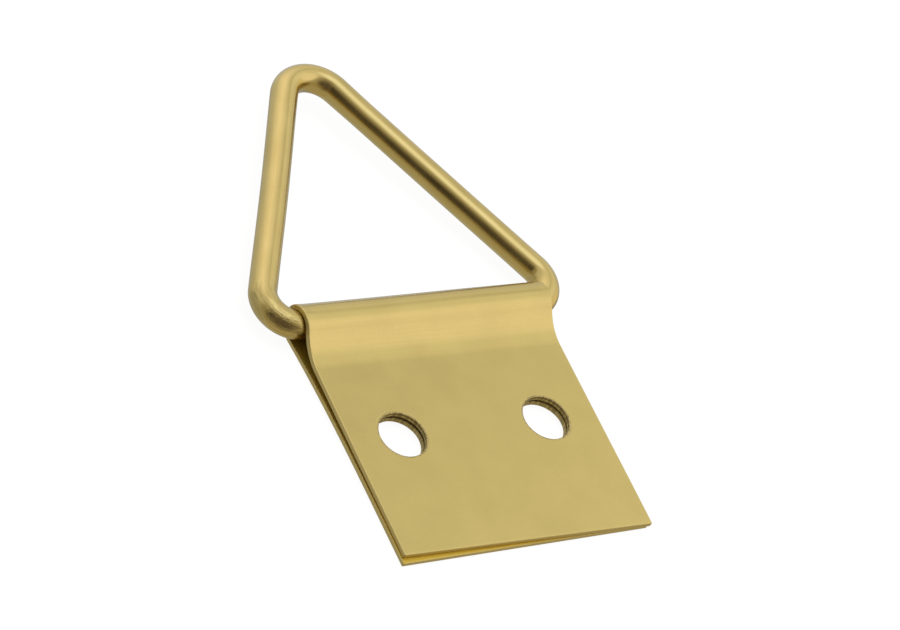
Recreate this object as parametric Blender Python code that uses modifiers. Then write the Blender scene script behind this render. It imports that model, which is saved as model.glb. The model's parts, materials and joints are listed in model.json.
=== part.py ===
"""Picture hanger: a strip of sheet brass folded double round a triangular wire ring.

The strip lies on its back, as it would be screwed to a frame. Row X runs across the strip, row Y from
its free ends towards the ring's tip, and row Z out of its front. The origin is midway between the two
screw holes, on the back face. Lengths are in metres and angles in radians.
"""

import math

import bmesh
import bpy
from mathutils import Vector

MM = 0.001

# Sheet and wire
SHEET_THICKNESS = 0.34 * MM
WIRE_DIAMETER = 1.96 * MM
RUNNING_CLEARANCE = 0.18 * MM

# Folded strap
STRAP_WIDTH = 20.0 * MM
HOLES_TO_FREE_END = 9.1 * MM
HOLES_TO_RING_AXIS = 9.3 * MM
BACK_LEAF_OVERHANG = 0.15 * MM
FREE_END_GAP = 0.05 * MM
LEAF_SPREAD = math.radians(2.4)
THROAT_BEND_RADIUS = 3.5 * MM

# Screw holes
HOLE_DIAMETER = 3.5 * MM
HOLE_SPACING = 11.75 * MM

# Wire ring
RING_BASE_ANGLE = math.radians(61.2)
CORNER_INNER_RADIUS = 0.97 * MM
TIP_INNER_RADIUS = 1.42 * MM
WIRE_END_GAP = 0.2 * MM
MOUTH_LIFT_SHARE = 0.6

# Mesh making
CUTTER_OVERRUN = 1.0 * MM
WELD_DISTANCE = 0.001 * MM
ARC_STEP = math.radians(5.0)
WIRE_BEVEL_RESOLUTION = 10
HOLE_SIDES = 48
SMOOTH_ANGLE = math.radians(30.0)

# Brass finishes, as linear colours
STRAP_COLOR = (0.60, 0.46, 0.17, 1.0)
STRAP_ROUGHNESS = 0.38
WIRE_COLOR = (0.58, 0.45, 0.17, 1.0)
WIRE_ROUGHNESS = 0.28

# Worked-out sizes
wire_radius = WIRE_DIAMETER / 2
loop_inner_radius = wire_radius + RUNNING_CLEARANCE
loop_middle_radius = loop_inner_radius + SHEET_THICKNESS / 2
loop_outer_radius = loop_inner_radius + SHEET_THICKNESS
throat_middle_radius = THROAT_BEND_RADIUS + SHEET_THICKNESS / 2
ring_axis = Vector((HOLES_TO_RING_AXIS, loop_outer_radius))
corner_radius = CORNER_INNER_RADIUS + wire_radius
tip_radius = TIP_INNER_RADIUS + wire_radius


def clear_scene():
    """Remove every object that the scene holds."""
    for scene_object in list(bpy.data.objects):
        bpy.data.objects.remove(scene_object, do_unlink=True)


def new_collection(name):
    """Add a collection to the scene and return it."""
    collection = bpy.data.collections.new(name)
    bpy.context.scene.collection.children.link(collection)
    return collection


def brass(name, color, roughness):
    """Return a plain brass material."""
    material = bpy.data.materials.new(name)
    material.use_nodes = True
    material.diffuse_color = color
    shader = material.node_tree.nodes["Principled BSDF"]
    shader.inputs["Base Color"].default_value = color
    shader.inputs["Metallic"].default_value = 1.0
    shader.inputs["Roughness"].default_value = roughness
    return material


def arc(center, radius, start, end):
    """Return points along an arc, from the start angle to the end angle, with both ends."""
    steps = max(1, math.ceil(abs(end - start) / ARC_STEP))
    points = []
    for index in range(steps + 1):
        angle = start + (end - start) * index / steps
        points.append(center + radius * Vector((math.cos(angle), math.sin(angle))))
    return points


def poly_curve(name, points, collection):
    """Return a curve object with one straight-sided spline through flat points."""
    curve = bpy.data.curves.new(name, "CURVE")
    curve.dimensions = "3D"
    spline = curve.splines.new("POLY")
    spline.points.add(len(points) - 1)
    for spline_point, (x, y) in zip(spline.points, points):
        spline_point.co = (x, y, 0.0, 1.0)
    curve_object = bpy.data.objects.new(name, curve)
    collection.objects.link(curve_object)
    return curve_object


def curve_to_mesh(curve_object, name, collection):
    """Swap a curve object for a welded mesh object in the same place and return that."""
    bpy.context.view_layer.update()
    evaluated = curve_object.evaluated_get(bpy.context.evaluated_depsgraph_get())
    mesh = bpy.data.meshes.new_from_object(evaluated)
    mesh.name = name
    work = bmesh.new()
    work.from_mesh(mesh)
    bmesh.ops.remove_doubles(work, verts=work.verts, dist=WELD_DISTANCE)
    work.to_mesh(mesh)
    work.free()
    matrix = curve_object.matrix_world.copy()
    bpy.data.objects.remove(curve_object, do_unlink=True)
    mesh_object = bpy.data.objects.new(name, mesh)
    mesh_object.matrix_world = matrix
    collection.objects.link(mesh_object)
    return mesh_object


def strap_line():
    """Return the middle line of the folded strip, from the back leaf's end to the front leaf's end.

    The line lies in row Y and Z. It runs flat along the back, round the wire, and down through the
    throat, where the front leaf bends back the other way to meet the back leaf.
    """
    half_sheet = SHEET_THICKNESS / 2
    back_end = Vector((-HOLES_TO_FREE_END - BACK_LEAF_OVERHANG, half_sheet))
    front_end = Vector((-HOLES_TO_FREE_END, SHEET_THICKNESS + FREE_END_GAP + half_sheet))
    leaf_normal = Vector((-math.sin(LEAF_SPREAD), math.cos(LEAF_SPREAD)))
    axis_height = leaf_normal.dot(ring_axis - front_end)
    reach = throat_middle_radius + loop_middle_radius
    throat_turn = math.acos((throat_middle_radius - axis_height) / reach)
    leaf_normal_angle = math.pi / 2 + LEAF_SPREAD
    leave_angle = leaf_normal_angle + throat_turn
    throat_center = ring_axis + reach * Vector((math.cos(leave_angle), math.sin(leave_angle)))
    loop = arc(ring_axis, loop_middle_radius, -math.pi / 2, leave_angle)
    throat = arc(throat_center, throat_middle_radius, leave_angle + math.pi, leaf_normal_angle + math.pi)
    return [back_end] + loop + throat[1:] + [front_end]


def hole_cutter(name, x, collection):
    """Return a drill for one screw hole, straight through both leaves."""
    depth = 2 * (loop_outer_radius + CUTTER_OVERRUN)
    bpy.ops.mesh.primitive_cylinder_add(
        vertices=HOLE_SIDES,
        radius=HOLE_DIAMETER / 2,
        depth=depth,
        location=(x, 0.0, loop_outer_radius),
    )
    cutter = bpy.context.object
    cutter.name = name
    cutter.hide_render = True
    cutter.display_type = "WIRE"
    for owner in list(cutter.users_collection):
        owner.objects.unlink(cutter)
    collection.objects.link(cutter)
    return cutter


def folded_strap(parts, cutters):
    """Build the folded strip with its two screw holes."""
    line = poly_curve("strap_line", strap_line(), cutters)
    line.data.extrude = STRAP_WIDTH / 2
    line.rotation_euler = (math.pi / 2, 0.0, math.pi / 2)
    strap = curve_to_mesh(line, "folded_strap", parts)
    sheet = strap.modifiers.new("sheet_thickness", "SOLIDIFY")
    sheet.thickness = SHEET_THICKNESS
    sheet.offset = 0.0
    sheet.use_even_offset = True
    for side, label in ((-1, "left"), (1, "right")):
        drill = hole_cutter("drill_" + label, side * HOLE_SPACING / 2, cutters)
        cut = strap.modifiers.new("screw_hole_" + label, "BOOLEAN")
        cut.operation = "DIFFERENCE"
        cut.object = drill
    strap.data.shade_smooth()
    strap.data.set_sharp_from_angle(angle=SMOOTH_ANGLE)
    strap.data.materials.append(brass("strap_brass", STRAP_COLOR, STRAP_ROUGHNESS))
    return strap


def ring_line():
    """Return the wire's middle line, from one end in the strap round the triangle to the other.

    The line lies in the ring's own plane, with the hinge axis along X through the origin. The corner
    bends start just inside the strap's mouths, so that at each mouth the wire has lifted by a share of
    the running clearance.
    """
    mouth_lift = MOUTH_LIFT_SHARE * RUNNING_CLEARANCE
    bend_inset = math.sqrt(mouth_lift * (2 * CORNER_INNER_RADIUS - mouth_lift))
    bend_start = STRAP_WIDTH / 2 - bend_inset
    corner_x = bend_start + corner_radius / math.tan(RING_BASE_ANGLE / 2)
    tip_height = corner_x * math.tan(RING_BASE_ANGLE)
    tip_center = Vector((0.0, tip_height - tip_radius / math.cos(RING_BASE_ANGLE)))
    leg_angle = math.pi / 2 - RING_BASE_ANGLE
    corner_center = Vector((bend_start, corner_radius))
    right_corner = arc(corner_center, corner_radius, -math.pi / 2, leg_angle)
    tip = arc(tip_center, tip_radius, leg_angle, math.pi - leg_angle)
    left_corner = [Vector((-point.x, point.y)) for point in reversed(right_corner)]
    right_end = Vector((WIRE_END_GAP / 2, 0.0))
    left_end = Vector((-WIRE_END_GAP / 2, 0.0))
    return [right_end] + right_corner + tip + left_corner + [left_end]


def wire_triangle(parts):
    """Build the wire ring on its hinge axis, in line with the front leaf."""
    line = poly_curve("ring_line", ring_line(), parts)
    line.data.bevel_depth = wire_radius
    line.data.bevel_resolution = WIRE_BEVEL_RESOLUTION
    line.data.use_fill_caps = True
    line.location = (0.0, ring_axis.x, ring_axis.y)
    line.rotation_euler = (LEAF_SPREAD, 0.0, 0.0)
    ring = curve_to_mesh(line, "wire_triangle", parts)
    ring.data.shade_smooth()
    ring.data.set_sharp_from_angle(angle=SMOOTH_ANGLE)
    ring.data.materials.append(brass("wire_brass", WIRE_COLOR, WIRE_ROUGHNESS))
    return ring


def main():
    """Build the whole hanger."""
    clear_scene()
    parts = new_collection("picture_hanger")
    cutters = new_collection("cutters")
    folded_strap(parts, cutters)
    wire_triangle(parts)


main()
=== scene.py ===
"""Looks of a picture hanger: a strip of sheet brass folded round a triangular wire ring.

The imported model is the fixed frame. Row X runs across the strap, row Y from its free ends towards the
ring's tip, and row Z out of its front. The strap and the ring are modelled here as finer meshes, each in
the place of its CAD solid and riding on the same body. Lengths are in millimetres until a mesh is
finished, and angles are in radians, except the light panels' own, which are in degrees.
"""

import json
import logging
import math
from dataclasses import dataclass, field
from enum import Enum

import bmesh
import bpy
import numpy as np
from mathutils import Matrix, Vector


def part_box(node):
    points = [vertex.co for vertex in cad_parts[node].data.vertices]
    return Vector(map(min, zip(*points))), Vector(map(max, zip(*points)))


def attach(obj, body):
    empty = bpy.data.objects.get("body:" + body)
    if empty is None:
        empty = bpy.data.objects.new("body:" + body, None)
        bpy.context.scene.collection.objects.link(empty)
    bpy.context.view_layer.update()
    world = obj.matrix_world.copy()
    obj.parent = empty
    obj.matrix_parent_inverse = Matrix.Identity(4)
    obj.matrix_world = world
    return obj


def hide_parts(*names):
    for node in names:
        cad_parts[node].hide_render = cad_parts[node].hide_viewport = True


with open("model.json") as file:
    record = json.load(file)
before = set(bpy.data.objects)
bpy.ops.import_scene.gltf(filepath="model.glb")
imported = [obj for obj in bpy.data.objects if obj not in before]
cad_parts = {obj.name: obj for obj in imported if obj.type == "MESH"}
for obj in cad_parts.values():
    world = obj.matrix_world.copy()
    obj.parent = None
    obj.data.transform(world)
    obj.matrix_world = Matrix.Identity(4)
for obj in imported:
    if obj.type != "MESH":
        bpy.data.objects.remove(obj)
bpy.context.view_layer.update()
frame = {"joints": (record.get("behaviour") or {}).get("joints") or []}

MM = 0.001
COUNT_SLACK = 1e-9
NOISE_MIDDLE = 0.5
Color = tuple[float, float, float]
Stretch = tuple[float, float, float]
Span = tuple[float, float]
log = logging.getLogger("picture_hanger")


def rgba(color: Color) -> tuple[float, float, float, float]:
    """Return a linear colour with full alpha."""
    return (*color, 1.0)


def smooth_step(values: np.ndarray, start: float, end: float) -> np.ndarray:
    """Return a soft ramp that is 0 at start and 1 at end.

    Args:
        values: Where the ramp is read.
        start: The value at which it leaves 0.
        end: The value at which it reaches 1, which may be the lower of the two.

    Returns:
        The ramp at each value.
    """
    share = np.clip((values - start) / (end - start), 0.0, 1.0)
    return share * share * (3.0 - 2.0 * share)


def spaced(start: float, end: float, step: float) -> list[float]:
    """Return even stations from start up to, but without, end, no further apart than a step."""
    count = max(1, math.ceil((end - start) / step - COUNT_SLACK))
    return [start + (end - start) * index / count for index in range(count)]


def nearest_span(stations: list[float], center: float, reach: float) -> tuple[int, int]:
    """Find the stations at the two sides of a block.

    Args:
        stations: The stations, in order.
        center: The block's middle.
        reach: How far each side lies from it.

    Returns:
        The numbers of the stations nearest to the two sides.
    """
    first = min(range(len(stations)), key=lambda index: abs(stations[index] - (center - reach)))
    last = min(range(len(stations)), key=lambda index: abs(stations[index] - (center + reach)))
    return first, last


def measured(points: np.ndarray) -> tuple[np.ndarray, np.ndarray]:
    """Measure a line of flat points.

    Args:
        points: Close points along the line.

    Returns:
        The length along the line at each point, and the line's unit direction there.
    """
    lengths = np.concatenate([[0.0], np.cumsum(np.linalg.norm(np.diff(points, axis=0), axis=1))])
    directions = np.gradient(points, lengths, axis=0)
    directions /= np.linalg.norm(directions, axis=1)[:, None]
    return lengths, directions


def right_of(directions: np.ndarray) -> np.ndarray:
    """Return the flat unit vectors that point to the right of each direction."""
    return np.stack([directions[:, 1], -directions[:, 0]], axis=1)


def direction(azimuth: float, elevation: float) -> Vector:
    """Return the unit vector at an azimuth, from row Y towards row X, and an elevation."""
    level = math.cos(elevation)
    return Vector((math.sin(azimuth) * level, math.cos(azimuth) * level, math.sin(elevation)))


class Signal:
    """A shader value with Python arithmetic: one output socket of a node."""

    def __init__(self, graph: "ShaderGraph", socket: bpy.types.NodeSocket) -> None:
        """Wrap a socket of the graph's tree."""
        self.graph = graph
        self.socket = socket

    def __add__(self, other: "Signal | float") -> "Signal":
        """Return this value plus another."""
        return self.graph.math("ADD", self, other)

    def __radd__(self, other: float) -> "Signal":
        """Return a number plus this value."""
        return self.graph.math("ADD", other, self)

    def __sub__(self, other: "Signal | float") -> "Signal":
        """Return this value less another."""
        return self.graph.math("SUBTRACT", self, other)

    def __rsub__(self, other: float) -> "Signal":
        """Return a number less this value."""
        return self.graph.math("SUBTRACT", other, self)

    def __mul__(self, other: "Signal | float") -> "Signal":
        """Return this value times another."""
        return self.graph.math("MULTIPLY", self, other)

    def __rmul__(self, other: float) -> "Signal":
        """Return a number times this value."""
        return self.graph.math("MULTIPLY", other, self)

    def __truediv__(self, other: "Signal | float") -> "Signal":
        """Return this value over another."""
        return self.graph.math("DIVIDE", self, other)

    def __rtruediv__(self, other: float) -> "Signal":
        """Return a number over this value."""
        return self.graph.math("DIVIDE", other, self)

    def __abs__(self) -> "Signal":
        """Return this value without its sign."""
        return self.graph.math("ABSOLUTE", self)

    def ramp(self, start: float, end: float) -> "Signal":
        """Return a soft ramp of this value, 0 at start and 1 at end."""
        return self.graph.output(
            self.graph.node(
                "ShaderNodeMapRange",
                {"interpolation_type": "SMOOTHSTEP"},
                {"Value": self, "From Min": start, "From Max": end},
            )
        )


class ShaderGraph:
    """The nodes of one material or world."""

    def __init__(self, tree: bpy.types.NodeTree) -> None:
        """Take over a node tree and empty it."""
        self.tree = tree
        tree.nodes.clear()

    def node(self, kind: str, settings: dict | None = None, inputs: dict | None = None) -> bpy.types.Node:
        """Add any node.

        Args:
            kind: The node's type.
            settings: The node's properties, which are set first.
            inputs: The value or the signal for each named or numbered input socket.

        Returns:
            The new node.
        """
        made = self.tree.nodes.new(kind)
        for name, value in (settings or {}).items():
            setattr(made, name, value)
        for name, value in (inputs or {}).items():
            if isinstance(value, Signal):
                self.tree.links.new(value.socket, made.inputs[name])
            else:
                made.inputs[name].default_value = value
        return made

    def output(self, node: bpy.types.Node, name: str | int = 0) -> Signal:
        """Return one of a node's outputs as a signal."""
        return Signal(self, node.outputs[name])

    def math(self, operation: str, *values: Signal | float) -> Signal:
        """Return the result of a Math node."""
        return self.output(self.node("ShaderNodeMath", {"operation": operation}, dict(enumerate(values))))

    def vector_math(self, operation: str, *values: Signal | Vector, result: str = "Vector") -> Signal:
        """Return the result of a Vector Math node."""
        made = self.node("ShaderNodeVectorMath", {"operation": operation}, dict(enumerate(values)))
        return self.output(made, result)

    def mix_color(self, factor: Signal, first: Signal | Color, second: Signal | Color) -> Signal:
        """Mix two colours.

        Args:
            factor: How much of the second colour there is, from 0 to 1.
            first: The colour where the factor is 0.
            second: The colour where the factor is 1.

        Returns:
            The mixed colour.
        """
        colors = [value if isinstance(value, Signal) else rgba(value) for value in (first, second)]
        made = self.node("ShaderNodeMix", {"data_type": "RGBA"}, {0: factor, 6: colors[0], 7: colors[1]})
        return self.output(made, 2)

    def noise(self, place: Signal, stretch: Stretch, detail: float = 2.0, roughness: float = 0.5) -> Signal:
        """Return noise from 0 to 1.

        Args:
            place: Where the noise is read, in millimetres.
            stretch: How many features a millimetre holds along each of the place's axes.
            detail: How many finer layers the noise has.
            roughness: How strong those layers are.

        Returns:
            The noise's value.
        """
        scaled = self.vector_math("MULTIPLY", place, Vector(stretch))
        settings = {"noise_dimensions": "3D"}
        inputs = {"Vector": scaled, "Scale": 1.0, "Detail": detail, "Roughness": roughness}
        return self.output(self.node("ShaderNodeTexNoise", settings, inputs), 0)

    def attribute(self, name: str) -> Signal:
        """Return a mesh's own vector attribute."""
        return self.output(self.node("ShaderNodeAttribute", {"attribute_name": name}), "Vector")

    def axes(self, vector: Signal) -> tuple[Signal, Signal, Signal]:
        """Return a vector's three parts."""
        split = self.node("ShaderNodeSeparateXYZ", None, {0: vector})
        return self.output(split, 0), self.output(split, 1), self.output(split, 2)


class PlaceName(Enum):
    """The mesh attributes that say, in millimetres, where a point lies on its own piece."""

    STRIP = "strip_place"
    WIRE = "wire_place"


@dataclass(frozen=True)
class CutOutline:
    """Where the strip was cut, in millimetres on the flat strip."""

    half_width: float
    half_length: float
    hole_x: float
    hole_radius: float
    hole_places: tuple[float, float]
    rounding: float
    hole_rounding: float
    half_sheet: float
    bends: tuple[float, float]


@dataclass(frozen=True)
class RolledSheetFinish:
    """Satin rolled brass: bright outside, dull inside, with rough sheared walls and marks along the bends."""

    light: Color = (0.61, 0.482, 0.172)
    dark: Color = (0.548, 0.43, 0.150)
    edge_color: Color = (0.63, 0.51, 0.20)
    inner_color: Color = (0.66, 0.46, 0.06)
    punched_light: Color = (0.58, 0.47, 0.19)
    punched_dark: Color = (0.32, 0.25, 0.10)
    fracture_color: Color = (0.12, 0.07, 0.015)
    roughness: float = 0.22
    roughness_swing: float = 0.05
    edge_roughness: float = 0.56
    punched_roughness: float = 0.58
    inner_roughness: float = 0.50
    inner_metal: float = 0.85
    inner_start_share: float = 0.8
    mottle_stretch: Stretch = (0.35, 0.30, 0.35)
    speck_stretch: Stretch = (5.0, 4.0, 5.0)
    fold_mark_stretch: Stretch = (0.12, 6.0, 6.0)
    shear_stretch: Stretch = (7.0, 7.0, 0.6)
    speck_tone: float = 0.35
    fold_mark_tone: float = 0.5
    fold_mark_fade: float = 1.0
    speck_height: float = 0.0006
    fold_mark_height: float = 0.0020
    shear_height: float = 0.010
    shear_band: Span = (0.35, 0.65)
    edge_cover: float = 0.7
    edge_height_share: float = 0.3
    edge_full_share: float = 0.4
    hole_rim_shares: Span = (1.5, 0.7)
    line_depth: float = 0.07
    line_width: float = 0.05
    line_core_share: float = 0.2
    line_fade: float = 1.0
    line_end_margin: float = 2.0

    def material(self, outline: CutOutline) -> bpy.types.Material:
        """Return the sheet's material.

        Args:
            outline: Where the sheet is cut through, which gets the sheared finish.

        Returns:
            A procedural brass material.
        """
        made = bpy.data.materials.new("rolled_sheet_brass")
        made.use_nodes = True
        graph = ShaderGraph(made.node_tree)
        place = graph.attribute(PlaceName.STRIP.value)
        across, along, depth = graph.axes(place)
        edge = self._edge_mask(graph, outline, across, along)
        punched = self._hole_mask(graph, outline, across, along)
        face = graph.math("MINIMUM", 1.0 - edge, 1.0 - punched)
        inner = depth.ramp(-outline.half_sheet * self.inner_start_share, -outline.half_sheet) * face
        mottle = graph.noise(place, self.mottle_stretch, detail=4.0)
        speck = graph.noise(place, self.speck_stretch, detail=2.0)
        shear = graph.noise(place, self.shear_stretch, detail=2.0)
        loop_start, throat_end = outline.bends
        bent = along.ramp(loop_start - self.fold_mark_fade, loop_start)
        bent = bent * along.ramp(throat_end, throat_end - self.fold_mark_fade)
        fold_mark = graph.noise(place, self.fold_mark_stretch, detail=2.0) * bent
        tone = mottle + (speck - NOISE_MIDDLE) * self.speck_tone
        tone = tone + (fold_mark - NOISE_MIDDLE * bent) * self.fold_mark_tone
        color = graph.mix_color(tone.ramp(0.0, 1.0), self.dark, self.light)
        color = graph.mix_color(inner, color, self.inner_color)
        cover = edge * (self.edge_cover + shear * (1.0 - self.edge_cover))
        color = graph.mix_color(cover, color, self.edge_color)
        wall = graph.mix_color(shear.ramp(*self.shear_band), self.punched_dark, self.punched_light)
        wall = graph.mix_color(self._fracture_line(outline, along, depth), wall, self.fracture_color)
        color = graph.mix_color(punched, color, wall)
        rough = self.roughness + (mottle - NOISE_MIDDLE) * self.roughness_swing
        rough = rough + inner * (self.inner_roughness - self.roughness)
        rough = rough + edge * (self.edge_roughness - self.roughness)
        rough = rough + punched * (self.punched_roughness - self.roughness)
        relief = speck * self.speck_height + fold_mark * self.fold_mark_height
        height = relief * face + shear * (edge * self.edge_height_share + punched) * self.shear_height
        metal = 1.0 - inner * (1.0 - self.inner_metal)
        return finish_metal(made, graph, color, rough, height, metal)

    def _edge_mask(self, graph: ShaderGraph, outline: CutOutline, across: Signal, along: Signal) -> Signal:
        """Tell the sheared faces round the strip from its two faces.

        Args:
            graph: The material's nodes.
            outline: Where the strip is cut.
            across: The place across the flat strip.
            along: The place along it.

        Returns:
            1 on the sheared faces and 0 elsewhere.
        """
        inset = outline.rounding
        full = inset * self.edge_full_share
        side = abs(across).ramp(outline.half_width - inset, outline.half_width - full)
        from_middle = abs(along - outline.half_length)
        end = from_middle.ramp(outline.half_length - inset, outline.half_length - full)
        return graph.math("MAXIMUM", side, end)

    def _hole_mask(self, graph: ShaderGraph, outline: CutOutline, across: Signal, along: Signal) -> Signal:
        """Tell the punched walls of the holes, with a dark rim round each, from the strip's two faces.

        Args:
            graph: The material's nodes.
            outline: Where the strip is cut.
            across: The place across the flat strip.
            along: The place along it.

        Returns:
            1 on the walls and their rims, and 0 elsewhere.
        """
        rim = outline.hole_radius + outline.hole_rounding
        fade_out, full = (rim + outline.hole_rounding * share for share in self.hole_rim_shares)
        aside = abs(abs(across) - outline.hole_x)
        masks = []
        for place in outline.hole_places:
            offset = along - place
            reach = graph.math("SQRT", aside * aside + offset * offset)
            masks.append(reach.ramp(fade_out, full))
        return graph.math("MAXIMUM", *masks)

    def _fracture_line(self, outline: CutOutline, along: Signal, depth: Signal) -> Signal:
        """Find the dark line that the punch left in the front leaf's holes.

        Args:
            outline: Where the strip is cut.
            along: The place along the flat strip.
            depth: The height above the middle of the sheet.

        Returns:
            1 on the line and 0 elsewhere.
        """
        start = outline.bends[1]
        end = outline.half_length * 2 - self.line_end_margin
        front = along.ramp(start, start + self.line_fade) * along.ramp(end, end - self.line_fade)
        core = self.line_width * self.line_core_share
        return front * abs(depth - self.line_depth).ramp(self.line_width, core)


@dataclass(frozen=True)
class DrawnWireFinish:
    """Semi-bright drawn brass wire: fine draw marks along it, and the tool's scratches round one bend, with
    painted shade laid over them there.
    """

    light: Color = (0.64, 0.50, 0.19)
    dark: Color = (0.53, 0.41, 0.14)
    # The scratches' dark colour, which also stands for painted shade from the strap's loop on this bend.
    scratch_and_shade_color: Color = (0.30, 0.235, 0.075)
    roughness: float = 0.22
    roughness_swing: float = 0.08
    streak_stretch: Stretch = (0.09, 3.2, 3.2)
    fine_streak_stretch: Stretch = (0.30, 8.0, 8.0)
    mottle_stretch: Stretch = (0.45, 0.9, 0.9)
    scratch_and_shade_stretch: Stretch = (1.3, 4.5, 4.5)
    streak_height: float = 0.0025
    scratch_height: float = 0.007
    scratch_and_shade_fade: float = 0.8
    scratch_and_shade_noise_roughness: float = 0.7
    scratch_and_shade_band: Span = (0.46, 0.62)
    mottle_tone: float = 0.8
    streak_tone: float = 0.6
    fine_tone: float = 0.5
    scratch_and_shade_tone: float = 0.3
    fine_height_share: float = 0.5

    def material(self, scratched_and_shaded: Span) -> bpy.types.Material:
        """Return the wire's material.

        Args:
            scratched_and_shaded: Where along the wire the scratches and their painted shade start and end, in
                millimetres.

        Returns:
            A procedural brass material.
        """
        made = bpy.data.materials.new("drawn_wire_brass")
        made.use_nodes = True
        graph = ShaderGraph(made.node_tree)
        place = graph.attribute(PlaceName.WIRE.value)
        along = graph.axes(place)[0]
        start, end = scratched_and_shaded
        bent = along.ramp(start - self.scratch_and_shade_fade, start + self.scratch_and_shade_fade)
        bent = bent * along.ramp(end + self.scratch_and_shade_fade, end - self.scratch_and_shade_fade)
        streak = graph.noise(place, self.streak_stretch, detail=3.0)
        fine = graph.noise(place, self.fine_streak_stretch, detail=2.0)
        mottle = graph.noise(place, self.mottle_stretch, detail=3.0)
        # This mask carries both the scratches' relief and the painted shade on the bend.
        scratch_and_shade = graph.noise(place, self.scratch_and_shade_stretch, detail=3.0, roughness=self.scratch_and_shade_noise_roughness)
        scratch_and_shade = scratch_and_shade.ramp(*self.scratch_and_shade_band) * bent
        tone = NOISE_MIDDLE + (mottle - NOISE_MIDDLE) * self.mottle_tone
        tone = tone + (streak - NOISE_MIDDLE) * self.streak_tone + (fine - NOISE_MIDDLE) * self.fine_tone
        color = graph.mix_color(tone.ramp(0.0, 1.0), self.dark, self.light)
        # Darkens the bend: partly the scratches' own colour, partly painted shade.
        color = graph.mix_color(scratch_and_shade * self.scratch_and_shade_tone, color, self.scratch_and_shade_color)
        swing = mottle - NOISE_MIDDLE + (fine - NOISE_MIDDLE)
        rough = self.roughness + swing * self.roughness_swing
        marks = streak + fine * self.fine_height_share
        height = marks * self.streak_height - scratch_and_shade * self.scratch_height
        return finish_metal(made, graph, color, rough, height)


def finish_metal(
    made: bpy.types.Material,
    graph: ShaderGraph,
    color: Signal,
    rough: Signal,
    height: Signal,
    metal: Signal | float = 1.0,
) -> bpy.types.Material:
    """Give a material its metal shader.

    Args:
        made: The material.
        graph: Its nodes.
        color: The metal's colour.
        rough: The metal's roughness.
        height: The surface's relief, in millimetres.
        metal: How much of the surface is bare metal, against matt film and scratches.

    Returns:
        The material.
    """
    bump = graph.node("ShaderNodeBump", None, {"Height": height, "Distance": MM, "Strength": 1.0})
    sockets = {"Base Color": color, "Metallic": metal, "Roughness": rough, "Normal": graph.output(bump)}
    shader = graph.node("ShaderNodeBsdfPrincipled", None, sockets)
    graph.node("ShaderNodeOutputMaterial", None, {"Surface": graph.output(shader)})
    return made


class FoldLine:
    """The folded strip's middle line in row Y and Z, by length along the strip."""

    def __init__(self, points: np.ndarray, start_margin: float, end_margin: float) -> None:
        """Measure a line that runs past the strip by a margin at each end.

        Args:
            points: Close points along the line.
            start_margin: The length before the strip's start.
            end_margin: The length after the strip's end.
        """
        lengths, directions = measured(points)
        self.points = points
        self.along = lengths - start_margin
        self.length = float(lengths[-1]) - start_margin - end_margin
        self.outward = right_of(directions)

    def place(self, along: np.ndarray, depth: np.ndarray) -> tuple[np.ndarray, np.ndarray]:
        """Return where points of the flat strip come to lie.

        Args:
            along: Each point's length along the strip.
            depth: Each point's height above the middle of the sheet, on its outer side.

        Returns:
            The points' Y and Z.
        """
        axes = [
            np.interp(along, self.along, self.points[:, axis])
            + depth * np.interp(along, self.along, self.outward[:, axis])
            for axis in (0, 1)
        ]
        return axes[0], axes[1]

    def along_at_y(self, y: float, start: float, end: float) -> float:
        """Find where a stretch of the strip passes a Y.

        Args:
            y: The Y to look for.
            start: The length along the strip at which the stretch starts.
            end: The length at which it ends.

        Returns:
            The length along the strip at that Y.
        """
        stretch = (self.along >= start) & (self.along <= end)
        ys = self.points[stretch, 0]
        order = np.argsort(ys)
        return float(np.interp(y, ys[order], self.along[stretch][order]))


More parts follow.
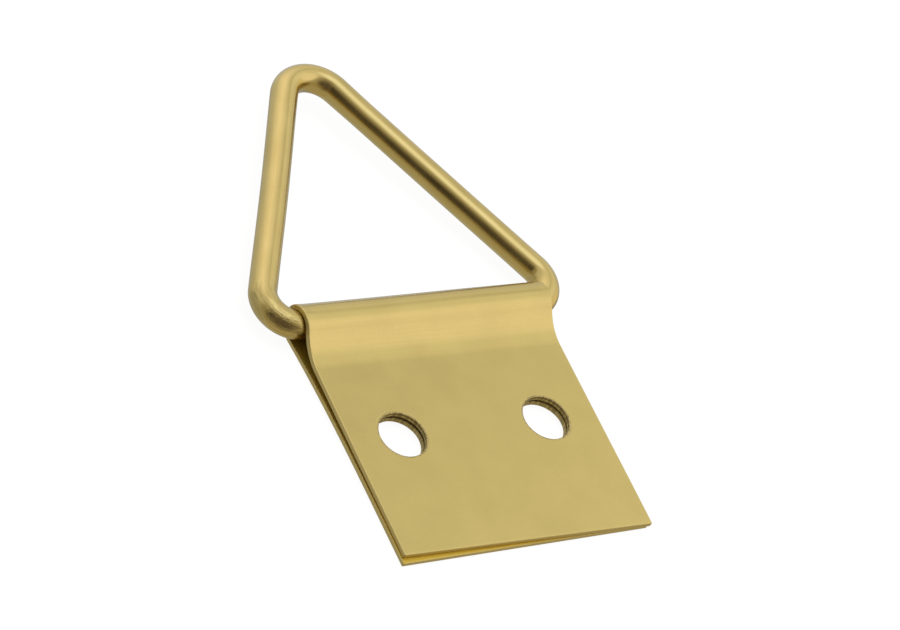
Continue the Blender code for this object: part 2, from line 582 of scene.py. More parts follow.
@dataclass
class FoldedStrap:
    """The strip of sheet brass: a back leaf, a loop round the wire, a throat and a front leaf.

    On the flat strip, X runs across, Y is the length from the back leaf's end, and Z is the height on
    the outer side.
    """

    pin_width: float
    axis: Vector
    width_allowance: float = 0.08
    back_side_shift: float = -0.03
    loop_side_shift: float = 0.04
    front_side_shift: float = 0.10
    loop_squeeze: float = 0.045
    squeeze_side_share: float = 0.6
    sheet: float = 0.34
    loop_inner_radius: float = 1.16
    throat_inner_radius: float = 3.5
    leaf_spread: float = math.radians(2.4)
    front_end_y: float = -9.13
    front_end_lift: float = 0.39
    back_end_y: float = -9.29
    back_end_lift: float = 0.04
    back_rise_at_loop: float = math.radians(4.2)
    back_rise_at_end: float = math.radians(1.5)
    front_end_skew: float = 0.10
    back_end_skew: float = 0.15
    skew_reach: float = 5.0
    hole_diameter: float = 3.47
    hole_spacing: float = 11.75
    lip_height: float = 0.035
    lip_length: float = 1.1
    mouth_burr: float = 0.028
    mouth_burr_reach: float = 0.25
    hole_burr: float = 0.045
    hole_burr_reach: float = 0.30
    die_roll: float = 0.08
    hole_rounding: float = 0.06
    burr_rounding: float = 0.03
    corner_rounding: float = 0.09
    edge_segments: int = 4
    support: float = 0.18
    line_step: float = 0.02
    line_margin: float = 1.0
    leaf_step: float = 0.5
    bend_step: float = 0.07
    mouth_step: float = 0.12
    hole_block: float = 2.7
    hole_side_cells: int = 18
    hole_ring_shares: tuple[float, ...] = (0.0, 0.3, 0.55, 0.72, 0.83, 1.0)
    finish: RolledSheetFinish = field(default_factory=RolledSheetFinish)

    def __post_init__(self) -> None:
        """Work out the fold, its bends and the holes' places on the flat strip."""
        self.width = self.pin_width + self.width_allowance
        self.fold, self.loop_start, self.loop_end, self.throat_end = self._fold_line()
        self.half_length = self.fold.length / 2
        self.hole_places = (
            self.fold.along_at_y(0.0, 0.0, self.loop_start),
            self.fold.along_at_y(0.0, self.throat_end, self.fold.length),
        )

    @property
    def outline(self) -> CutOutline:
        """Where the strip is cut through."""
        return CutOutline(
            half_width=self.width / 2,
            half_length=self.half_length,
            hole_x=self.hole_spacing / 2,
            hole_radius=self.hole_diameter / 2,
            hole_places=self.hole_places,
            rounding=self.die_roll,
            hole_rounding=self.hole_rounding,
            half_sheet=self.sheet / 2,
            bends=(self.loop_start, self.throat_end),
        )

    def _fold_line(self) -> tuple[FoldLine, float, float, float]:
        """Work out the fold's middle line.

        Returns:
            The line, with a margin past each free end, and the lengths along the strip at which the
            loop starts, the throat starts and the throat ends.
        """
        half_sheet = self.sheet / 2
        loop_radius = self.loop_inner_radius + half_sheet
        throat_radius = self.throat_inner_radius + half_sheet
        axis = np.array([self.axis.y, self.axis.z])
        spread = self.leaf_spread
        leaf_along = np.array([-math.cos(spread), -math.sin(spread)])
        leaf_normal = np.array([-math.sin(spread), math.cos(spread)])
        front_end = np.array([self.front_end_y, self.front_end_lift + half_sheet])
        back_end = np.array([self.back_end_y, self.back_end_lift + half_sheet])
        axis_height = float(leaf_normal @ (axis - front_end))
        throat_turn = math.acos((throat_radius - axis_height) / (throat_radius + loop_radius))
        leaf_normal_angle = math.pi / 2 + spread
        arrive = -math.pi / 2 - self.back_rise_at_loop
        leave = leaf_normal_angle + throat_turn
        throat_center = axis + (throat_radius + loop_radius) * np.array([math.cos(leave), math.sin(leave)])
        loop = self._arc(axis, loop_radius, arrive, leave)
        throat = self._arc(throat_center, throat_radius, leave + math.pi, leaf_normal_angle + math.pi)
        back_rise = np.array([math.cos(self.back_rise_at_end), math.sin(self.back_rise_at_end)])
        back_margin = back_end - self.line_margin * back_rise
        stretches = [
            self._straight(back_margin, back_end),
            self._back_leaf(back_end, loop[0]),
            loop,
            throat,
            self._straight(throat[-1], front_end),
            self._straight(front_end, front_end + self.line_margin * leaf_along),
        ]
        lengths = [float(np.linalg.norm(np.diff(part, axis=0), axis=1).sum()) for part in stretches]
        loop_start = lengths[1]
        loop_end = loop_start + lengths[2]
        throat_end = loop_end + lengths[3]
        points = np.concatenate([part[:-1] for part in stretches] + [stretches[-1][-1:]])
        return FoldLine(points, self.line_margin, self.line_margin), loop_start, loop_end, throat_end

    def _steps(self, length: float) -> np.ndarray:
        """Return shares from 0 to 1 that cut a length into line steps."""
        return np.linspace(0.0, 1.0, max(2, round(length / self.line_step)) + 1)

    def _straight(self, start: np.ndarray, end: np.ndarray) -> np.ndarray:
        """Return points along a straight stretch, with both ends."""
        shares = self._steps(float(np.linalg.norm(end - start)))[:, None]
        return start + (end - start) * shares

    def _arc(self, center: np.ndarray, radius: float, start: float, end: float) -> np.ndarray:
        """Return points along an arc, with both ends."""
        angles = start + (end - start) * self._steps(radius * abs(end - start))
        return center + radius * np.stack([np.cos(angles), np.sin(angles)], axis=1)

    def _back_leaf(self, start: np.ndarray, end: np.ndarray) -> np.ndarray:
        """Draw the back leaf, which bows off the wall between its end and the loop.

        Args:
            start: The leaf's free end.
            end: Where it meets the loop.

        Returns:
            The points along it, with both ends.
        """
        reach = float(end[0] - start[0])
        shares = self._steps(reach)
        squares = shares * shares
        cubes = squares * shares
        leave = math.tan(self.back_rise_at_end) * reach
        arrive = -math.tan(self.back_rise_at_loop) * reach
        heights = (
            start[1] * (2 * cubes - 3 * squares + 1)
            + leave * (cubes - 2 * squares + shares)
            + end[1] * (3 * squares - 2 * cubes)
            + arrive * (cubes - squares)
        )
        return np.stack([start[0] + reach * shares, heights], axis=1)

    def _block_stations(self, center: float) -> list[float]:
        """Cut a square block round a hole where even radii of the hole meet its side.

        Args:
            center: The hole's middle.

        Returns:
            The stations across the block.
        """
        cells = self.hole_side_cells
        angles = [math.pi / 2 * index / cells - math.pi / 4 for index in range(cells + 1)]
        return [center + self.hole_block * math.tan(angle) for angle in angles]

    def _across_stations(self) -> list[float]:
        """Cut the flat strip across its width.

        Returns:
            The stations, from its left edge to its right edge.
        """
        edge = self.width / 2
        hole = self.hole_spacing / 2
        block_end = hole + self.hole_block
        half = spaced(0.0, hole - self.hole_block, self.leaf_step) + self._block_stations(hole)
        half += spaced(block_end, edge - self.support, self.mouth_step)[1:] + [edge - self.support, edge]
        return [-x for x in reversed(half[1:])] + half

    def _along_stations(self) -> list[float]:
        """Cut the flat strip along its length.

        Returns:
            The stations, from the back leaf's end to the front leaf's end.
        """
        back_hole, front_hole = self.hole_places
        length = self.fold.length
        block = self.hole_block
        stations = [0.0] + spaced(self.support, back_hole - block, self.leaf_step)
        stations += self._block_stations(back_hole)
        stations += spaced(back_hole + block, self.loop_start, self.leaf_step)[1:]
        stations += spaced(self.loop_start, self.throat_end, self.bend_step)
        stations += spaced(self.throat_end, front_hole - block, self.leaf_step)
        stations += self._block_stations(front_hole)
        stations += spaced(front_hole + block, length - self.support, self.leaf_step)[1:]
        return stations + [length - self.support, length]

    def _blank(self) -> bmesh.types.BMesh:
        """Make the flat strip as one layer of faces.

        Returns:
            The strip, with its holes and rounded corners.
        """
        blank = bmesh.new()
        across = self._across_stations()
        along = self._along_stations()
        blocks = []
        for hole_x in (-self.hole_spacing / 2, self.hole_spacing / 2):
            for hole_place in self.hole_places:
                columns = nearest_span(across, hole_x, self.hole_block)
                rows = nearest_span(along, hole_place, self.hole_block)
                blocks.append((columns, rows, Vector((hole_x, hole_place, 0.0))))
        grid: dict[tuple[int, int], bmesh.types.BMVert] = {}
        for column, x in enumerate(across):
            for row, y in enumerate(along):
                if not any(c[0] < column < c[1] and r[0] < row < r[1] for c, r, _ in blocks):
                    grid[column, row] = blank.verts.new((x, y, 0.0))
        for column in range(len(across) - 1):
            for row in range(len(along) - 1):
                if not any(c[0] <= column < c[1] and r[0] <= row < r[1] for c, r, _ in blocks):
                    corners = ((0, 0), (1, 0), (1, 1), (0, 1))
                    blank.faces.new([grid[column + right, row + up] for right, up in corners])
        for columns, rows, center in blocks:
            self._pierce(blank, grid, columns, rows, center)
        corners = [grid[c, r] for c in (0, len(across) - 1) for r in (0, len(along) - 1)]
        bmesh.ops.bevel(
            blank,
            geom=corners,
            offset=self.corner_rounding,
            offset_type="OFFSET",
            segments=self.edge_segments,
            profile=0.5,
            affect="VERTICES",
        )
        return blank

    def _pierce(
        self,
        blank: bmesh.types.BMesh,
        grid: dict[tuple[int, int], bmesh.types.BMVert],
        columns: tuple[int, int],
        rows: tuple[int, int],
        center: Vector,
    ) -> None:
        """Fill a square block with rings of faces that close in on a round hole.

        Args:
            blank: The flat strip.
            grid: Its corner points by column and row.
            columns: The block's first and last column.
            rows: The block's first and last row.
            center: The hole's middle.
        """
        bottom = [(column, rows[0]) for column in range(columns[0], columns[1])]
        right = [(columns[1], row) for row in range(rows[0], rows[1])]
        top = [(column, rows[1]) for column in range(columns[1], columns[0], -1)]
        left = [(columns[0], row) for row in range(rows[1], rows[0], -1)]
        outer = [grid[key] for key in bottom + right + top + left]
        edge_points = [vertex.co.copy() for vertex in outer]
        for share in self.hole_ring_shares[1:]:
            inner = []
            for point in edge_points:
                rim = center + (point - center).normalized() * self.hole_diameter / 2
                inner.append(blank.verts.new(point.lerp(rim, share)))
            for index in range(len(outer)):
                after = (index + 1) % len(outer)
                blank.faces.new([outer[index], outer[after], inner[after], inner[index]])
            outer = inner

    def _thicken(self, blank: bmesh.types.BMesh) -> bpy.types.Mesh:
        """Give the flat strip its thickness and rounded rims, the most on the outer side.

        Args:
            blank: The flat strip, which is used up.

        Returns:
            The strip's mesh, still flat.
        """
        for vertex in blank.verts:
            vertex.co.z = -self.sheet / 2
        kept = blank.verts[:] + blank.edges[:] + blank.faces[:]
        raised = bmesh.ops.extrude_face_region(blank, geom=kept, use_keep_orig=True)["geom"]
        for part in raised:
            if isinstance(part, bmesh.types.BMVert):
                part.co.z = self.sheet / 2
        bmesh.ops.recalc_face_normals(blank, faces=blank.faces)
        self._round(blank, [edge for edge in self._rims(blank, 1) if not self._at_hole(edge)], self.die_roll)
        self._round(blank, [edge for edge in self._rims(blank, 1) if self._at_hole(edge)], self.hole_rounding)
        self._round(blank, self._rims(blank, -1), self.burr_rounding)
        mesh = bpy.data.meshes.new("strap_sheet")
        blank.to_mesh(mesh)
        blank.free()
        return mesh

    def _rims(self, blank: bmesh.types.BMesh, side: int) -> list[bmesh.types.BMEdge]:
        """Find the edges between the sheared walls and one side of the strip.

        Args:
            blank: The flat strip with its thickness.
            side: 1 for the outer side, and -1 for the inner side.

        Returns:
            The edges.
        """
        level = side * self.sheet / 2
        slack = self.sheet / 100
        return [
            edge
            for edge in blank.edges
            if all(abs(vertex.co.z - level) < slack for vertex in edge.verts)
            and any(abs(face.normal.z) < 0.5 for face in edge.link_faces)
        ]

    def _at_hole(self, edge: bmesh.types.BMEdge) -> bool:
        """Tell whether an edge of the flat strip lies at a screw hole.

        Args:
            edge: The edge, of a hole or of the strip's outline.

        Returns:
            Whether it is nearer to a hole's wall than to the side of the block round it.
        """
        x, along, _ = edge.verts[0].co
        reach = min(math.hypot(abs(x) - self.hole_spacing / 2, along - place) for place in self.hole_places)
        return reach < self.hole_block / 2 + self.hole_diameter / 4

    def _round(self, blank: bmesh.types.BMesh, edges: list[bmesh.types.BMEdge], radius: float) -> None:
        """Round some of the strip's edges.

        Args:
            blank: The flat strip.
            edges: The edges to round.
            radius: How far the rounding reaches from each.
        """
        bmesh.ops.bevel(
            blank,
            geom=edges,
            offset=radius,
            offset_type="OFFSET",
            segments=self.edge_segments,
            profile=0.5,
            affect="EDGES",
            clamp_overlap=False,
        )

    def _bend(self, flat: np.ndarray) -> np.ndarray:
        """Return where the flat strip's points lie once it is folded.

        Args:
            flat: The points of the flat strip.

        Returns:
            The points in the row frame, in millimetres.
        """
        x, along, depth = flat.T
        edge = self.width / 2
        from_middle = np.abs(x)
        side = x / edge
        length = self.fold.length
        back = smooth_step(along, self.loop_end, self.loop_start)
        front = smooth_step(along, self.throat_end, length)
        across = x + self.loop_side_shift
        across += (self.back_side_shift - self.loop_side_shift) * back
        across += (self.front_side_shift - self.loop_side_shift) * front
        back_share = smooth_step(along, self.skew_reach, 0.0)
        front_share = smooth_step(along, length - self.skew_reach, length)
        skewed = along + side * (self.back_end_skew * back_share + self.front_end_skew * front_share)
        mouth = smooth_step(from_middle, edge - self.lip_length, edge)
        third = (self.loop_end - self.loop_start) / 3
        lip = smooth_step(along, self.loop_start + third, self.loop_start + 2 * third)
        lip *= smooth_step(along, self.throat_end, self.loop_end - third / 2)
        squeeze = smooth_step(along, self.loop_start, self.loop_start + third)
        left = smooth_step(side, self.squeeze_side_share, -self.squeeze_side_share)
        squeeze *= smooth_step(along, self.loop_end, self.loop_end - third) * left
        outward = self.lip_height * mouth * mouth * lip - self.loop_squeeze * squeeze
        aside = from_middle - self.hole_spacing / 2
        from_hole = np.min([np.hypot(aside, along - place) for place in self.hole_places], axis=0)
        rim = smooth_step(from_hole - self.hole_diameter / 2, self.hole_burr_reach, 0.0)
        # The burr ends before the throat, where the wire passes as the ring lies back on the front leaf.
        at_mouth = smooth_step(from_middle, edge - self.mouth_burr_reach, edge)
        at_mouth *= lip * smooth_step(along, self.loop_end - third / 2, self.loop_end - third)
        burr = self.hole_burr * rim + self.mouth_burr * at_mouth
        inner = np.clip(0.5 - depth / self.sheet, 0.0, 1.0)
        y, z = self.fold.place(skewed, depth + outward - burr * inner)
        return np.stack([across, y, z], axis=1)

    def build(self) -> bpy.types.Object:
        """Make the folded strap.

        Returns:
            The strap, dressed and in place.
        """
        mesh = self._thicken(self._blank())
        flat = np.zeros(len(mesh.vertices) * 3)
        mesh.vertices.foreach_get("co", flat)
        flat = flat.reshape(-1, 3)
        mesh.vertices.foreach_set("co", (self._bend(flat) * MM).ravel())
        mesh.flip_normals()
        store_place(mesh, PlaceName.STRIP, flat)
        mesh.shade_smooth()
        mesh.materials.append(self.finish.material(self.outline))
        mesh.update()
        strap = bpy.data.objects.new("strap_sheet", mesh)
        bpy.context.scene.collection.objects.link(strap)
        return strap


def store_place(mesh: bpy.types.Mesh, name: PlaceName, places: np.ndarray) -> None:
    """Keep each point's place on its own piece, in millimetres, for the material to read."""
    attribute = mesh.attributes.new(name.value, "FLOAT_VECTOR", "POINT")
    attribute.data.foreach_set("vector", places.astype(np.float32).ravel())


@dataclass
class WireTriangle:
    """The wire ring: a straight base in the strap's loop, two legs and three bends.

    The ring is drawn in its own plane, with the hinge axis along X through the origin.
    """

    strap_width: float
    axis: Vector
    diameter: float = 1.96
    running_clearance: float = 0.18
    lean: float = math.radians(2.4)
    roll: float = math.radians(0.65)
    turn: float = math.radians(-0.07)
    seat: Vector = field(default_factory=lambda: Vector((-0.07, -0.05, 0.0)))
    base_angle: float = math.radians(61.12)
    corner_inner_radius: float = 1.10
    tip_inner_radius: float = 1.475
    right_leg_bow: float = 0.015
    left_leg_bow: float = 0.06
    tip_spread: float = 0.07
    tip_spread_heights: Span = (0.82, 0.97)
    corner_spread: float = 0.02
    corner_spread_heights: Span = (0.26, 0.10)
    corner_spread_sides: Span = (9.5, 11.0)
    end_gap: float = 0.2
    mouth_lift_share: float = 0.9
    end_chamfer: float = 0.12
    sides: int = 64
    bend_step: float = math.radians(2.5)
    leg_step: float = 0.5
    sharp_angle: float = math.radians(40.0)
    finish: DrawnWireFinish = field(default_factory=DrawnWireFinish)

    def _center_line(self) -> tuple[np.ndarray, tuple[int, int]]:
        """Draw the wire's middle line, from its right end round the triangle to its left end.

        Returns:
            The points along it, and the numbers of those at the left bend's start and end.
        """
        radius = self.diameter / 2
        corner_radius = self.corner_inner_radius + radius
        mouth_lift = self.mouth_lift_share * self.running_clearance
        bend_inset = math.sqrt(mouth_lift * (2 * self.corner_inner_radius - mouth_lift))
        bend_start = self.strap_width / 2 - bend_inset
        corner_x = bend_start + corner_radius / math.tan(self.base_angle / 2)
        right_corner = Vector((corner_x, 0.0))
        left_corner = Vector((-corner_x, 0.0))
        tip = Vector((0.0, corner_x * math.tan(self.base_angle)))
        half_gap = Vector((self.end_gap / 2, 0.0))
        right_bend = self._bend(left_corner, right_corner, tip, corner_radius)
        tip_bend = self._bend(right_corner, tip, left_corner, self.tip_inner_radius + radius)
        left_bend = self._bend(tip, left_corner, right_corner, corner_radius)
        line = self._stretch(half_gap, right_bend[0]) + right_bend[:-1]
        line += self._stretch(right_bend[-1], tip_bend[0], self.right_leg_bow) + tip_bend[:-1]
        line += self._stretch(tip_bend[-1], left_bend[0], self.left_leg_bow)
        left_start = len(line)
        line += left_bend[:-1]
        left_end = len(line)
        line += self._stretch(left_bend[-1], -half_gap) + [-half_gap]
        return np.array(line), (left_start, left_end)

    def _bend(self, before: Vector, corner: Vector, after: Vector, radius: float) -> list[Vector]:
        """Return points round the bend at a corner, with both ends.

        Args:
            before: The corner that the wire comes from.
            corner: The corner that it goes round, anticlockwise.
            after: The corner that it goes on to.
            radius: The bend's radius at the wire's middle.

        Returns:
            The points.
        """
        arrive = (corner - before).normalized()
        leave = (after - corner).normalized()
        turn = math.acos(arrive.dot(leave))
        start = corner - arrive * radius * math.tan(turn / 2)
        center = start + Vector((-arrive.y, arrive.x)) * radius
        first = math.atan2(start.y - center.y, start.x - center.x)
        count = math.ceil(turn / self.bend_step)
        angles = [first + turn * index / count for index in range(count + 1)]
        return [center + radius * Vector((math.cos(angle), math.sin(angle))) for angle in angles]

    def _spread(self, line: np.ndarray) -> np.ndarray:
        """Work out how the wire has spread in its bends.

        Args:
            line: The wire's middle line.

        Returns:
            The wire's thickness across the ring at each point, as a share of its drawn thickness.
        """
        height = line[:, 1] / line[:, 1].max()
        tip = smooth_step(height, *self.tip_spread_heights)
        corner = smooth_step(height, *self.corner_spread_heights)
        corner *= smooth_step(np.abs(line[:, 0]), *self.corner_spread_sides)
        return 1.0 + self.tip_spread * tip + self.corner_spread * corner

    def _stretch(self, start: Vector, end: Vector, bow: float = 0.0) -> list[Vector]:
        """Return points along a nearly straight stretch, without its end.

        Args:
            start: The stretch's first point.
            end: Its last point.
            bow: How far its middle lies off the straight line, towards the inside of the ring.

        Returns:
            The points.
        """
        along = (end - start).normalized()
        inward = Vector((-along.y, along.x))
        shares = spaced(0.0, 1.0, self.leg_step / (end - start).length)
        return [start.lerp(end, share) + inward * bow * (4 * share * (1 - share)) ** 2 for share in shares]

    def _chamfer(
        self, line: np.ndarray, lengths: np.ndarray, directions: np.ndarray
    ) -> tuple[np.ndarray, np.ndarray, np.ndarray, np.ndarray]:
        """Give the wire's two ends a chamfer.

        Args:
            line: The wire's middle line.
            lengths: The length along it at each point.
            directions: Its unit direction at each point.

        Returns:
            The line and the lengths with one point more at each end, and at each point the direction
            out of the ring and the wire's radius.
        """
        chamfer = self.end_chamfer
        outward = right_of(directions)
        first = line[:1] + chamfer * directions[:1]
        last = line[-1:] - chamfer * directions[-1:]
        line = np.concatenate([line[:1], first, line[1:-1], last, line[-1:]])
        lengths = np.concatenate([[0.0, chamfer], lengths[1:-1], [lengths[-1] - chamfer, lengths[-1]]])
        outward = np.concatenate([outward[:1], outward, outward[-1:]])
        radii = np.full(len(line), self.diameter / 2)
        radii[[0, -1]] -= chamfer
        return line, lengths, outward, radii

    def _tube_faces(self, rings: int) -> list[tuple[int, ...]]:
        """List the faces of a closed tube.

        Args:
            rings: How many rings of points the tube has.

        Returns:
            The numbers of each face's points, with the two flat ends last.
        """
        sides = self.sides
        faces: list[tuple[int, ...]] = []
        for low in range(0, (rings - 1) * sides, sides):
            high = low + sides
            for side in range(sides):
                after = (side + 1) % sides
                faces.append((low + side, high + side, high + after, low + after))
        faces.append(tuple(range(sides)))
        faces.append(tuple((rings - 1) * sides + side for side in reversed(range(sides))))
        return faces

    def build(self) -> bpy.types.Object:
        """Make the wire ring.

        Returns:
            The ring, dressed and in place.
        """
        line, left_bend = self._center_line()
        lengths, directions = measured(line)
        # The left bend, next to the strap's loop, gets the scratches and the painted shade.
        scratched_and_shaded = (float(lengths[left_bend[0]]), float(lengths[left_bend[1]]))
        line, lengths, outward, radii = self._chamfer(line, lengths, directions)
        angles = np.linspace(0.0, 2 * math.pi, self.sides, endpoint=False)
        level = (radii[:, None] * np.cos(angles)).ravel()
        rise = ((radii * self._spread(line))[:, None] * np.sin(angles)).ravel()
        flat = np.repeat(line, self.sides, axis=0) + np.repeat(outward, self.sides, axis=0) * level[:, None]
        points = np.stack([flat[:, 0], flat[:, 1], rise], axis=1)
        tilt = Matrix.Rotation(self.lean, 3, "X") @ Matrix.Rotation(self.roll, 3, "Y")
        tilt = np.array(tilt @ Matrix.Rotation(self.turn, 3, "Z"))
        placed = (points @ tilt.T + np.array(self.axis + self.seat)) * MM
        mesh = bpy.data.meshes.new("ring_wire")
        mesh.from_pydata(placed.tolist(), [], self._tube_faces(len(line)))
        store_place(mesh, PlaceName.WIRE, np.stack([np.repeat(lengths, self.sides), level, rise], axis=1))
        mesh.shade_smooth()
        mesh.set_sharp_from_angle(angle=self.sharp_angle)
        mesh.materials.append(self.finish.material(scratched_and_shaded))
        mesh.update()
        ring = bpy.data.objects.new("ring_wire", mesh)
        bpy.context.scene.collection.objects.link(ring)
        return ring


class Tint(Enum):
    """The colours of the light on the tent, as shares of its level."""

    NEUTRAL = (1.0, 1.0, 1.0)
    WARM = (1.10, 1.0, 0.78)
    DULL = (1.25, 1.0, 0.95)
    COOL = (0.96, 1.0, 1.18)
    ROSE = (1.045, 1.0, 1.06)


@dataclass(frozen=True)
class Panel:
    """A soft-edged oval of light or shade on the tent, with its angles in degrees.

    Its azimuth runs from row Y towards row X, and its elevation up from the floor.
    """

    azimuth: float
    elevation: float
    width: float
    height: float
    softness: float
    level: float
    tint: Tint = Tint.NEUTRAL

    @property
    def color(self) -> Color:
        """The panel's light."""
        return tuple(self.level * share for share in self.tint.value)

    def mask(self, graph: ShaderGraph, toward: Signal) -> Signal:
        """Return 1 inside the oval and 0 outside it.

        Args:
            graph: The tent's nodes.
            toward: The unit vector from the hanger to a point of the tent.

        Returns:
            The mask.
        """
        azimuth = math.radians(self.azimuth)
        elevation = math.radians(self.elevation)
        center = direction(azimuth, elevation)
        aside = direction(azimuth + math.pi / 2, 0.0) / math.tan(math.radians(self.width) / 2)
        above = direction(azimuth, elevation + math.pi / 2) / math.tan(math.radians(self.height) / 2)
        facing, across, up = (
            graph.vector_math("DOT_PRODUCT", toward, axis, result="Value") for axis in (center, aside, above)
        )
        reach = graph.math("SQRT", across * across + up * up) / (1.0 + facing)
        return (1.0 - reach).ramp(0.0, self.softness)


@dataclass
class Studio:
    """The floor, the light tent that the brass mirrors, the lamp, the world and the camera."""

    floor_size: float = 6000.0
    floor_gap: float = 0.05
    floor_glow: float = 0.93
    floor_paint: Color = (0.8, 0.8, 0.8)
    floor_seen_paint: Color = (0.10, 0.10, 0.10)
    tent_radius: float = 600.0
    tent_segments: int = 48
    room: Color = (0.80, 0.795, 0.80)
    table: Color = (0.66, 0.67, 0.645)
    horizon_softness: float = 0.23
    ambient: float = 0.75
    lamp_height: float = 500.0
    lamp_size: float = 250.0
    lamp_level: float = 0.28
    camera_place: Vector = field(default_factory=lambda: Vector((-146.845, -116.75, 174.339)))
    camera_aim: Vector = field(default_factory=lambda: Vector((3.652, 10.107, 0.0)))
    camera_roll: float = math.radians(32.62)
    camera_lens: float = 153.27
    camera_clip_start: float = 10.0
    # Each panel gives its azimuth, elevation, width, height, softness and level, and its tint if it has one.
    # All but those at 100, 2 and at 50, -48 are the rounded result of a least-squares fit to the photo's
    # brightness, and so are the tones of the room and the table.
    panels: tuple[Panel, ...] = (
        Panel(-140, 17, 69, 62, 0.20, 0.38, Tint.WARM),
        Panel(167, -20, 94, 81, 0.26, 0.49, Tint.WARM),
        Panel(-143, 18, 53, 53, 0.65, 0.11, Tint.DULL),
        Panel(-107, 25, 8, 39, 0.61, 0.02, Tint.DULL),
        Panel(1, 36, 40, 49, 1.0, 1.30, Tint.ROSE),
        Panel(52, 81, 19, 20, 0.20, 1.48, Tint.COOL),
        Panel(96, 42, 67, 43, 1.0, 1.15),
        Panel(50, 31, 6, 31, 0.79, 0.73),
        Panel(100, 2, 34, 26, 0.60, 0.95, Tint.WARM),
        Panel(26, -16, 40, 17, 0.20, 0.80, Tint.COOL),
        Panel(-60, -30, 31, 55, 0.38, 0.50),
        Panel(50, -48, 56, 44, 0.90, 0.40),
        Panel(124, 37, 27, 28, 0.22, 1.22, Tint.ROSE),
    )

    def floor(self) -> bpy.types.Object:
        """Make the white floor, which keeps the hanger's soft shadow.

        Returns:
            The floor.
        """
        half = self.floor_size / 2 * MM
        mesh = bpy.data.meshes.new("floor")
        corners = [(-half, -half, 0.0), (half, -half, 0.0), (half, half, 0.0), (-half, half, 0.0)]
        mesh.from_pydata(corners, [], [(0, 1, 2, 3)])
        floor = bpy.data.objects.new("floor", mesh)
        floor.location.z = -self.floor_gap * MM
        floor.visible_glossy = False
        mesh.materials.append(self._floor_material())
        bpy.context.scene.collection.objects.link(floor)
        return floor

    @staticmethod
    def _seen(graph: ShaderGraph) -> Signal:
        """Tell the rays that show the background from those that light the hanger.

        Args:
            graph: The nodes of the background's material or world.

        Returns:
            1 for the camera's rays and for rays off or through shiny surfaces, and 0 for others.
        """
        path = graph.node("ShaderNodeLightPath")
        seen = graph.output(path, "Is Camera Ray") + graph.output(path, "Is Glossy Ray")
        return graph.math("MINIMUM", seen + graph.output(path, "Is Transmission Ray"), 1.0)

    def _floor_material(self) -> bpy.types.Material:
        """Make the floor's finish.

        Returns:
            A material that shows white, with the hanger's shadow, and nothing from below.
        """
        made = bpy.data.materials.new("white_floor")
        made.use_nodes = True
        graph = ShaderGraph(made.node_tree)
        seen = self._seen(graph)
        glow = graph.node("ShaderNodeEmission", None, {"Strength": seen * self.floor_glow})
        paint = graph.mix_color(seen, self.floor_paint, self.floor_seen_paint)
        matt = graph.node("ShaderNodeBsdfDiffuse", None, {"Color": paint})
        both = graph.node("ShaderNodeAddShader", None, {0: graph.output(glow), 1: graph.output(matt)})
        below = graph.output(graph.node("ShaderNodeNewGeometry"), "Backfacing")
        clear = graph.output(graph.node("ShaderNodeBsdfTransparent"))
        mixed = graph.node("ShaderNodeMixShader", None, {0: below, 1: graph.output(both), 2: clear})
        graph.node("ShaderNodeOutputMaterial", None, {"Surface": graph.output(mixed)})
        return made

    def tent(self) -> bpy.types.Object:
        """Make the light tent, a sphere that only the brass sees, in place of the floor and the world.

        Returns:
            The tent.
        """
        work = bmesh.new()
        rows = self.tent_segments // 2
        radius = self.tent_radius * MM
        bmesh.ops.create_uvsphere(work, u_segments=self.tent_segments, v_segments=rows, radius=radius)
        mesh = bpy.data.meshes.new("light_tent")
        work.to_mesh(mesh)
        work.free()
        tent = bpy.data.objects.new("light_tent", mesh)
        for name in ("visible_camera", "visible_diffuse", "visible_shadow", "visible_volume_scatter"):
            setattr(tent, name, False)
        mesh.materials.append(self._tent_material())
        bpy.context.scene.collection.objects.link(tent)
        return tent

    def _tent_material(self) -> bpy.types.Material:
        """Make the tent's glow.

        Returns:
            A material with the room above, the table below, and the panels over them in order.
        """
        made = bpy.data.materials.new("tent_light")
        made.use_nodes = True
        made.cycles.emission_sampling = "NONE"
        graph = ShaderGraph(made.node_tree)
        place = graph.output(graph.node("ShaderNodeTexCoord"), "Object")
        toward = graph.vector_math("NORMALIZE", place)
        below = graph.axes(toward)[2].ramp(0.0, -self.horizon_softness)
        light = graph.mix_color(below, self.room, self.table)
        for panel in self.panels:
            light = graph.mix_color(panel.mask(graph, toward), light, panel.color)
        glow = graph.node("ShaderNodeEmission", None, {"Color": light, "Strength": 1.0})
        graph.node("ShaderNodeOutputMaterial", None, {"Surface": graph.output(glow)})
        return made

    def lamp(self) -> bpy.types.Object:
        """Make the overhead lamp, which gives the floor its soft shadow.

        Returns:
            The lamp.
        """
        data = bpy.data.lights.new("soft_box", "AREA")
        data.size = self.lamp_size * MM
        data.energy = self.lamp_level * (math.pi * self.lamp_height * MM) ** 2
        lamp = bpy.data.objects.new("soft_box", data)
        lamp.location = (0.0, 0.0, self.lamp_height * MM)
        lamp.visible_glossy = False
        lamp.visible_camera = False
        bpy.context.scene.collection.objects.link(lamp)
        return lamp

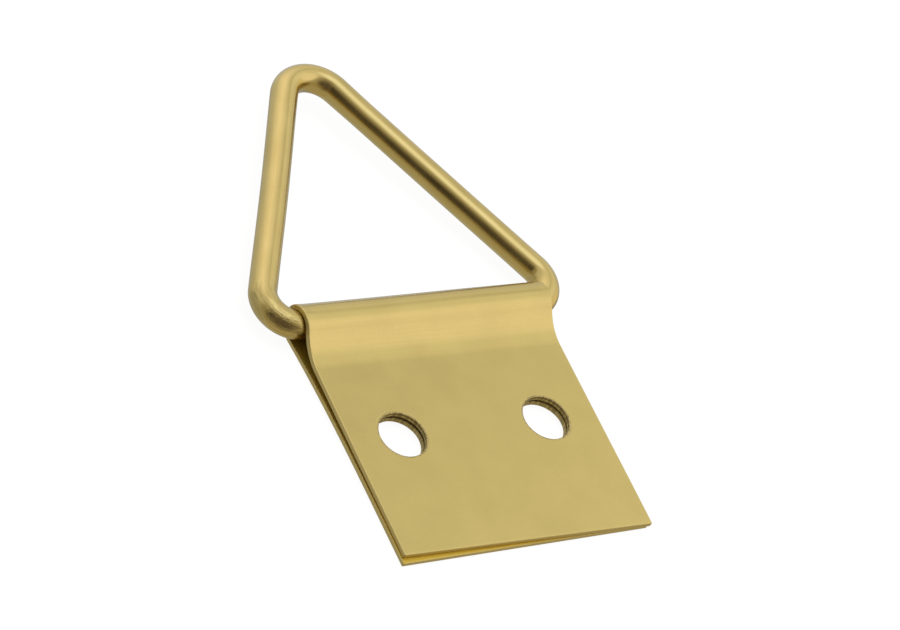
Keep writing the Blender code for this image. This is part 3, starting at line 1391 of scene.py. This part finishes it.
    def world(self) -> None:
        """Make the world white behind everything, and a plain soft light elsewhere."""
        world = bpy.data.worlds.new("white_world")
        world.use_nodes = True
        graph = ShaderGraph(world.node_tree)
        seen = self._seen(graph)
        light = {"Color": rgba((1.0, 1.0, 1.0)), "Strength": seen + (1.0 - seen) * self.ambient}
        back = graph.node("ShaderNodeBackground", None, light)
        graph.node("ShaderNodeOutputWorld", None, {"Surface": graph.output(back)})
        bpy.context.scene.world = world

    def camera(self) -> bpy.types.Object:
        """Set the camera at the photograph's place.

        Returns:
            The camera.
        """
        data = bpy.data.cameras.new("camera")
        data.lens = self.camera_lens
        data.clip_start = self.camera_clip_start * MM
        data.clip_end = self.floor_size * MM
        camera = bpy.data.objects.new("camera", data)
        look = (self.camera_aim - self.camera_place).to_track_quat("-Z", "Y").to_matrix()
        roll = Matrix.Rotation(self.camera_roll, 3, "Z")
        camera.matrix_world = Matrix.Translation(self.camera_place * MM) @ (look @ roll).to_4x4()
        bpy.context.scene.collection.objects.link(camera)
        bpy.context.scene.camera = camera
        return camera

    def build(self) -> None:
        """Set up the whole studio."""
        self.world()
        self.lamp()
        self.camera()
        self.floor()
        self.tent()
        bpy.context.scene.view_settings.view_transform = "Standard"


def report(piece: bpy.types.Object) -> None:
    """Log a piece's name, its number of faces and its size."""
    size = ", ".join(f"{length / MM:.2f}" for length in piece.dimensions)
    log.info("%s: %d faces, %s mm", piece.name, len(piece.data.polygons), size)


def install(piece: bpy.types.Object, body: str, node: str) -> None:
    """Put a finished piece in the place of its CAD node.

    Args:
        piece: The finished mesh, in the row frame.
        body: The CAD body that it moves with.
        node: The CAD node that it stands for.
    """
    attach(piece, body)
    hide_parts(node)
    report(piece)


def main() -> None:
    """Build the strap, the ring and the studio round the frame."""
    logging.basicConfig(level=logging.INFO, format="%(name)s: %(message)s")
    low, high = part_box("folded_strap")
    width = (high.x - low.x) / MM
    axis = Vector(frame["joints"][0]["pos_m"]) / MM
    install(FoldedStrap(width, axis).build(), "strap", "folded_strap")
    install(WireTriangle(width, axis).build(), "ring", "wire_triangle")
    Studio().build()


if __name__ == "__main__":
    main()
